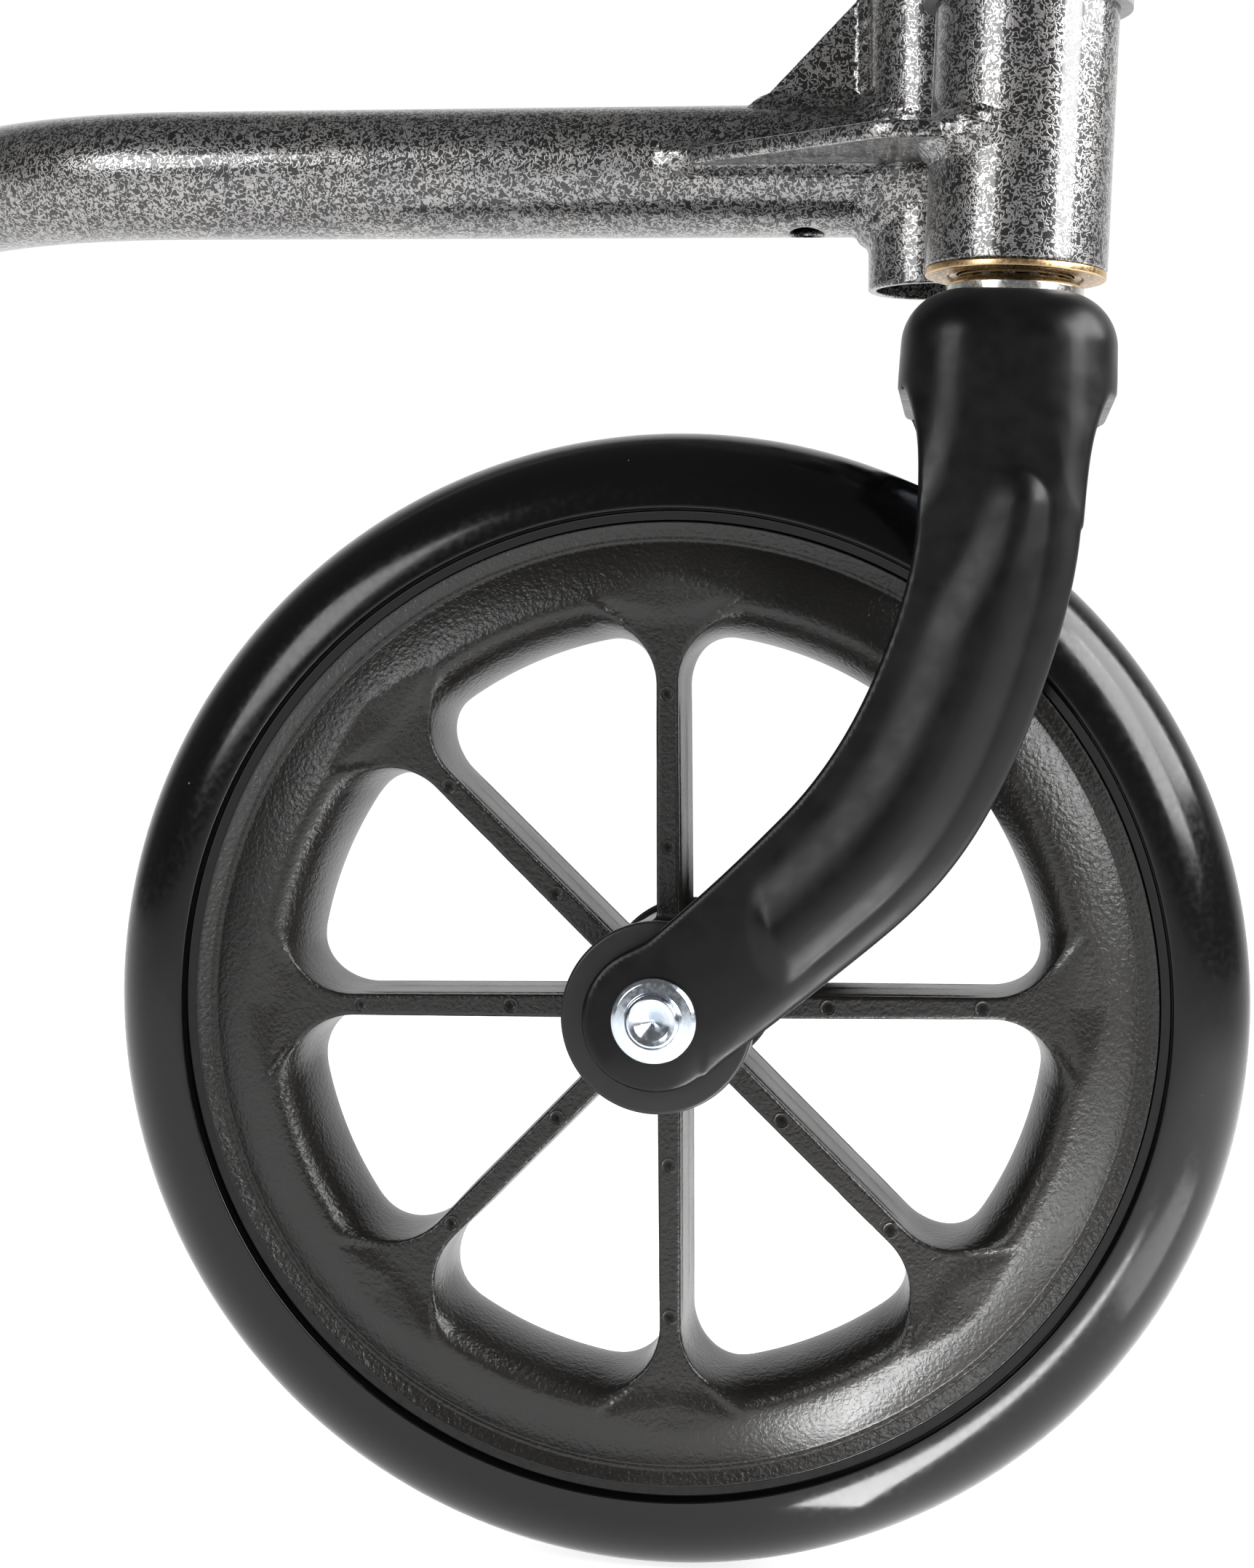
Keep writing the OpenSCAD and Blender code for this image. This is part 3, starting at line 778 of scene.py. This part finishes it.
def turn_y(v, a):
    c, s = math.cos(a), math.sin(a)
    return np.stack([v[..., 0] * c + v[..., 2] * s, v[..., 1], -v[..., 0] * s + v[..., 2] * c], -1)


def turn_z(v, a):
    c, s = math.cos(a), math.sin(a)
    return np.stack([v[..., 0] * c - v[..., 1] * s, v[..., 0] * s + v[..., 1] * c, v[..., 2]], -1)


def from_rail(v):
    return turn_z(turn_y(np.asarray(v, float), RAIL_DROP), RAIL_YAW) + RAIL_START


def to_rail(v):
    return turn_y(turn_z(v - RAIL_START, -RAIL_YAW), -RAIL_DROP)


def to_upright(v):
    return turn_y(v - FOOT, LEAN)


def rail_point(s, phi, radius):
    """Point on the rail's skin: s along it from the start, phi from +Z towards +Y."""
    s, phi = np.broadcast_arrays(np.asarray(s, float), np.asarray(phi, float))
    turned = np.clip((s - RAIL_L) / BEND_R, 0, BEND_A)
    over = np.maximum(s - RAIL_L - BEND_R * BEND_A, 0)
    cx = -np.minimum(s, RAIL_L) - BEND_R * np.sin(turned) - over * math.cos(BEND_A)
    cy = BEND_R * (1 - np.cos(turned)) + over * math.sin(BEND_A)
    side = np.sin(phi) * radius
    p = np.stack([cx + side * np.sin(turned), cy + side * np.cos(turned), np.cos(phi) * radius], -1)
    return from_rail(p)


def rail_skin(radius, start):
    """Rail skin as a grid, with a round hole set in a square patch."""
    length = RAIL_L + BEND_R * BEND_A + STUB_L
    box = 6.0
    n = 16
    before = 9
    s_axis = np.concatenate([
        np.linspace(0, HOLE_S - box, before + 1)[:-1],
        np.linspace(HOLE_S - box, HOLE_S + box, n + 1)[:-1],
        np.linspace(HOLE_S + box, RAIL_L, 60)[:-1],
        np.linspace(RAIL_L, length, 50),
    ])
    dphi = box / radius
    phi_axis = np.concatenate([
        np.linspace(HOLE_PHI - dphi, HOLE_PHI + dphi, n + 1)[:-1],
        np.linspace(HOLE_PHI + dphi, HOLE_PHI - dphi + 2 * math.pi, 97)[:-1],
    ])
    m = len(phi_axis)
    s_grid, phi_grid = np.meshgrid(s_axis, phi_axis, indexing="ij")
    begin = start(phi_grid)
    near = smooth(1 - s_grid / (HOLE_S - box))
    s_used = s_grid + begin * near
    verts = rail_point(s_used, phi_grid, radius).reshape(-1, 3)
    faces = []
    for i in range(len(s_axis) - 1):
        for j in range(m):
            if before <= i < before + n and j < n:
                continue
            a, b = i * m + j, i * m + (j + 1) % m
            faces.append((a, a + m, b + m, b))
    rim = [(before + k, 0) for k in range(n)] + [(before + n, k) for k in range(n)]
    rim += [(before + n - k, n) for k in range(n)] + [(before, n - k) for k in range(n)]
    rings = 7
    extra = []
    for ring in range(1, rings + 1):
        w = ring / rings
        for i, j in rim:
            ds, dt = s_axis[i] - HOLE_S, (phi_axis[j] - HOLE_PHI) * radius
            size = math.hypot(ds, dt)
            k = (1 - w) + w * HOLE_R / size
            extra.append((HOLE_S + ds * k, HOLE_PHI + dt * k / radius))
    extra = np.array(extra)
    ring_verts = rail_point(extra[:, 0], extra[:, 1], radius)
    base = len(verts)
    verts = np.concatenate([verts, ring_verts])
    count = len(rim)
    level = [[i * m + j for i, j in rim]]
    level += [list(range(base + k * count, base + (k + 1) * count)) for k in range(rings)]
    for a, b in zip(level, level[1:]):
        for k in range(count):
            q = (k + 1) % count
            faces.append((a[k], a[q], b[q], b[k]))
    return verts, np.array(faces), level[-1], m, len(s_axis)


def lower_rail():
    def start(radius):
        def begin(phi):
            p = to_upright(rail_point(0.0 * phi, phi, radius))
            return np.sqrt(np.maximum(SADDLE_R**2 - p[..., 1] ** 2, 0)) + p[..., 0]
        return begin

    vo, fo, ro, m, n = rail_skin(TUBE_R, start(TUBE_R))
    vi, fi, ri, _, _ = rail_skin(TUBE_BORE, start(TUBE_BORE))
    base = len(vo)
    verts = np.concatenate([vo, vi])
    faces = [fo, fi[:, ::-1] + base]
    a, b = np.array(ro), np.array(ri) + base
    faces.append(np.stack([a, np.roll(a, -1), np.roll(b, -1), b], -1))
    for row, flip in ((0, True), (n - 1, False)):
        a = row * m + np.arange(m)
        q = np.stack([a, a + base, np.roll(a, -1) + base, np.roll(a, -1)], -1)
        faces.append(q[:, ::-1] if flip else q)
    return piece("lower_rail", verts, np.concatenate(faces), VEIN, "frame", "lower_rail")


def front_upright():
    p = fillets([(TUBE_BORE, 0, 0.35), (TUBE_R, 0, 0.45), (TUBE_R, UPRIGHT_L, 0.45),
                 (TUBE_BORE, UPRIGHT_L, 0.35)])
    v, f = lathe(p, 192)
    v = turn_y(v, -LEAN) + FOOT
    return piece("front_upright", v, f, VEIN, "frame", "front_upright", weighted=True)


def castor_barrel():
    p = fillets([(BARREL_BORE, CUP_T, 0.3), (BARREL_R, CUP_T, 0.5), (BARREL_R, BARREL_TOP, 0.4),
                 (BARREL_BORE, BARREL_TOP, 0.3)])
    v, f = lathe(p, 256)
    return piece("castor_barrel", v, f, VEIN, "frame", "castor_barrel", weighted=True)


def d_rail(x, y, z):
    p = to_rail(np.stack([x, y, z], -1))
    return np.maximum(np.hypot(p[..., 1], p[..., 2]) - TUBE_R, p[..., 0])


def d_upright(x, y, z):
    p = to_upright(np.stack([x, y, z], -1))
    return np.hypot(p[..., 0], p[..., 1]) - TUBE_R


def d_barrel(x, y, z):
    return np.maximum(np.hypot(x, y) - BARREL_R, CUP_T - z)


GUSSET_Y = 24.9
GUSSET = [(-47.5, 30), (-47.5, 34.6), (-28.3, 56), (-20, 56), (-20, 30)]
PLATE_Z = 22.2
PLATE_T = 3.0


def d_gusset(x, y, z):
    return round_cut(polygon_field(x, z, GUSSET), np.abs(y - GUSSET_Y) - 1.5, 0.4)


def plate_outline():
    a = math.radians(37.5)
    kx, ky = -27 + 11 * math.sin(a), -10.6 + 11 * math.cos(a)
    front = arc(kx, ky, 11, -90 - 37.5, -90, 10)
    tip = [(-66, 19.2), (-62.3, 16.3), (-57, 11.8), (-50, 6.6)]
    return tip + front + [(0, ky - 11), (0, 0), (FOOT[0], FOOT[1]), (-60, 28)]


PLATE = plate_outline()


def d_plate(x, y, z):
    p = turn_y(np.stack([x, y, z - PLATE_Z], -1), -RAIL_DROP)
    sheet = np.abs(p[..., 2] - PLATE_T / 2) - PLATE_T / 2
    return round_cut(polygon_field(p[..., 0], p[..., 1], PLATE), sheet, 0.7)


def ripple(x, y, z):
    """Uneven height along a weld bead."""
    coarse = 0.14 * np.sin(1.9 * x + 0.7 * y) * np.sin(1.7 * z + 0.9 * y + 1.0)
    return coarse + 0.1 * np.sin(3.1 * y + 2.3 * z + x)


def bead(a, b, radius, blend, x, y, z):
    """Weld bead along the line where two skins meet, easing into both."""
    core = np.hypot(a, b) - radius * (1 + 0.5 * ripple(x, y, z))
    both = np.minimum(a, b)
    f = soft_min(core, both, blend)
    return np.maximum(f, core - 0.97 * blend)


def box_axes(low, high, step):
    return [spread((low[i], high[i], step)) for i in range(3)]


def rail_weld():
    def field(x, y, z):
        a, b = d_rail(x, y, z), d_upright(x, y, z)
        f = bead(a, b, 2.1, 1.8, x, y, z)
        return np.maximum(f, -(np.minimum(a, b) + 0.45))
    v, f = surface_net(field, box_axes((-33, 9, 6), (-6, 42, 40), 0.45))
    return piece("rail_weld", v, f, VEIN, "frame", "rail_weld")


def gusset_welds():
    def field(x, y, z):
        g, a, b = d_gusset(x, y, z), d_rail(x, y, z), d_upright(x, y, z)
        f = np.minimum(bead(g, a, 1.5, 1.3, x, y, z), bead(g, b, 1.5, 1.3, x, y, z))
        return np.maximum(f, -(np.minimum(np.minimum(a, b), g) + 0.4))
    v, f = surface_net(field, box_axes((-52, 19, 30), (-20, 31, 58), 0.4))
    return piece("gusset_welds", v, f, VEIN, "frame", "gusset_welds")


def barrel_welds():
    def field(x, y, z):
        p, a, b, c = d_plate(x, y, z), d_rail(x, y, z), d_upright(x, y, z), d_barrel(x, y, z)
        f = np.minimum(bead(p, c, 1.7, 1.5, x, y, z), bead(p, b, 1.3, 1.2, x, y, z))
        f = np.minimum(f, bead(p, a, 1.2, 1.2, x, y, z))
        f = np.minimum(f, bead(b, c, 2.4, 1.5, x, y, np.clip(z, 0, 60)))
        f = np.maximum(f, 2.0 - z)
        f = np.maximum(f, z - 46.5)
        return np.maximum(f, -(np.minimum(np.minimum(a, b), np.minimum(p, c)) + 0.45))
    v, f = surface_net(field, box_axes((-70, -18, 1), (8, 36, 48), 0.45))
    return piece("barrel_welds", v, f, VEIN, "frame", "barrel_welds")


def corner_gusset():
    v, f = surface_net(d_gusset, box_axes((-49, 22.6, 29), (-19, 27.4, 57.4), 0.4))
    return piece("corner_gusset", v, f, VEIN, "frame", "corner_gusset")


def bracket_plate():
    v, f = surface_net(d_plate, box_axes((-68, -14, 20), (2, 30, 27.4), 0.45))
    return piece("bracket_plate", v, f, VEIN, "frame", "bracket_plate")


# ---------- head bearing ----------


def flip_up(v):
    """The lower bearing's points turned over for the barrel's top."""
    return np.asarray(v) * [1, 1, -1] + [0, 0, BARREL_TOP + CUP_T]


def bearing_cups():
    p = fillets([(10.2, 0.5, 0.1), (11.4, 0.2, 0.1), (11.5, 0.9, 0), (11.8, 0.9, 0), (11.8, 0, 0.25),
                 (15.7, 0, 0.35), (15.7, CUP_T, 0.3), (BARREL_BORE, CUP_T, 0), (BARREL_BORE, 8.2, 0.2),
                 (11.9, 8.2, 0.1), (11.8, 1.6, 0), (10.2, 1.1, 0.1)])
    v, f = lathe(p, 256)
    piece("lower_bearing_cup", v, f, CUP, "frame", "lower_bearing_cup", weighted=True)
    piece("upper_bearing_cup", flip_up(v), f[:, ::-1], CUP, "frame", "upper_bearing_cup", weighted=True)


def bearing_cones():
    p = fillets([(6.0, -5.3, 0), (11.9, -5.3, 0.4), (12.0, -1.5, 1.0), (10.1, -0.1, 0.8), (9.9, 0.5, 0.2),
                 (9.5, 2.2, 0.2), (6.0, 2.2, 0)], n=6)
    v, f = lathe(p, 256)
    piece("lower_bearing_cone", v, f, CONE, "fork", "lower_bearing_cone", weighted=True)
    piece("upper_bearing_cone", flip_up(v), f[:, ::-1], CONE, "fork", "upper_bearing_cone", weighted=True)


# ---------- CAD nodes shown as they are ----------

SHOWN = {
    "stem_bolt": ZINC, "stem_washer": ZINC, "stem_lock_nut": ZINC, "axle_washer": ZINC, "axle_nut": ZINC,
    "leg_spacers": ZINC, "inner_races": STEEL, "race_spacer_tube": ZINC, "head_bearing_balls": STEEL,
    "dust_cap": CAP, "wheel_bearing_balls": STEEL, "wheel_ball_cages": BRASS, "outer_races": STEEL,
    "bearing_shields": STEEL,
}
for name, look in SHOWN.items():
    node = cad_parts[name]
    node.data.materials.clear()
    node.data.materials.append(look)

wheel_centre()
ejector_marks()
tyre()
hub_discs()
fork_shell()
axle_bolt()
lower_rail()
front_upright()
castor_barrel()
rail_weld()
gusset_welds()
barrel_welds()
corner_gusset()
bracket_plate()
bearing_cups()
bearing_cones()

# ---------- floor, light and camera ----------

FLOOR_SIZE = 60.0
FLOOR_GAP = 0.0002
FLOOR_GLOW = 0.82
FRONT_GREY = 0.15
WALL_WHITE = 1.02

floor_z = AXLE[2] - TREAD_R
bpy.ops.mesh.primitive_plane_add(size=FLOOR_SIZE, location=(0, 0, floor_z * MM - FLOOR_GAP))
floor = bpy.context.object
floor.name = "floor"
pale, pale_shader = material("floor", (0.72, 0.72, 0.72), 0.8, specular=0.1)
pale_shader.inputs["Emission Color"].default_value = (1, 1, 1, 1)
pale_shader.inputs["Emission Strength"].default_value = FLOOR_GLOW
floor.data.materials.append(pale)


def studio_world():
    """Dim room in front, with a broad white wall behind the object."""
    world = bpy.data.worlds.new("studio")
    bpy.context.scene.world = world
    world.use_nodes = True
    where = add(world, "ShaderNodeTexCoord")
    split = add(world, "ShaderNodeSeparateXYZ")
    join(world, where.outputs["Generated"], split.inputs["Vector"])
    wall = ramp(world, split.outputs["Y"], [(0.4, (FRONT_GREY,) * 3), (0.8, (WALL_WHITE,) * 3)])
    sky = world.node_tree.nodes["Background"]
    join(world, wall, sky.inputs["Color"])
    sky.inputs["Strength"].default_value = 1.0


studio_world()
bpy.context.scene.view_settings.view_transform = "Standard"


def lamp(name, place, target, size, radiance, spin=0.0):
    """A soft rectangular light of the given radiance."""
    data = bpy.data.lights.new(name, "AREA")
    data.shape = "RECTANGLE"
    data.size, data.size_y = size
    data.energy = radiance * math.pi * size[0] * size[1]
    obj = bpy.data.objects.new(name, data)
    bpy.context.scene.collection.objects.link(obj)
    a, b = np.array(place, float) * MM, np.array(target, float) * MM
    obj.location = a
    direction = Vector(b - a)
    obj.rotation_mode = "QUATERNION"
    turn = Quaternion((0, 0, 1), math.radians(spin))
    obj.rotation_quaternion = direction.to_track_quat("-Z", "Y") @ turn
    obj.visible_camera = False


lamp("right", (660, -410, 355), (0, 0, -20), (0.36, 0.5), 17)
lamp("top_right", (640, 0, 400), (0, 0, -20), (0.45, 0.45), 12)
lamp("left", (-640, -700, 260), (-60, 0, -100), (0.4, 0.35), 9)
lamp("floor_strip", (45, -95, floor_z + 1), (45, -95, 0), (0.19, 0.02), 28, 47)
lamp("floor_card", (150, -75, floor_z + 1), (150, -75, 0), (0.12, 0.1), 5)

SENSOR = 36.0
# Focal length in image heights, and angles in radians
CAMERA = dict(place=(-2.685, -520.799, -74.147), focal=1.887094156, yaw=-0.11721, pitch=-0.031857,
              roll=0.043528)


def camera():
    yaw, pitch, roll = CAMERA["yaw"], CAMERA["pitch"], CAMERA["roll"]
    ahead = np.array([math.sin(yaw), math.cos(yaw), 0])
    right = np.array([math.cos(yaw), -math.sin(yaw), 0])
    up = np.array([0, 0, 1.0])
    look = ahead * math.cos(pitch) + up * math.sin(pitch)
    over = -ahead * math.sin(pitch) + up * math.cos(pitch)
    r = right * math.cos(roll) + over * math.sin(roll)
    u = -right * math.sin(roll) + over * math.cos(roll)
    data = bpy.data.cameras.new("camera")
    data.sensor_width = SENSOR
    data.lens = CAMERA["focal"] * SENSOR
    data.clip_start, data.clip_end = 0.01, 50
    obj = bpy.data.objects.new("camera", data)
    bpy.context.scene.collection.objects.link(obj)
    m = Matrix.Identity(4)
    for i in range(3):
        m[i][0], m[i][1], m[i][2] = r[i], u[i], -look[i]
        m[i][3] = CAMERA["place"][i] * MM
    obj.matrix_world = m
    bpy.context.scene.camera = obj


camera()
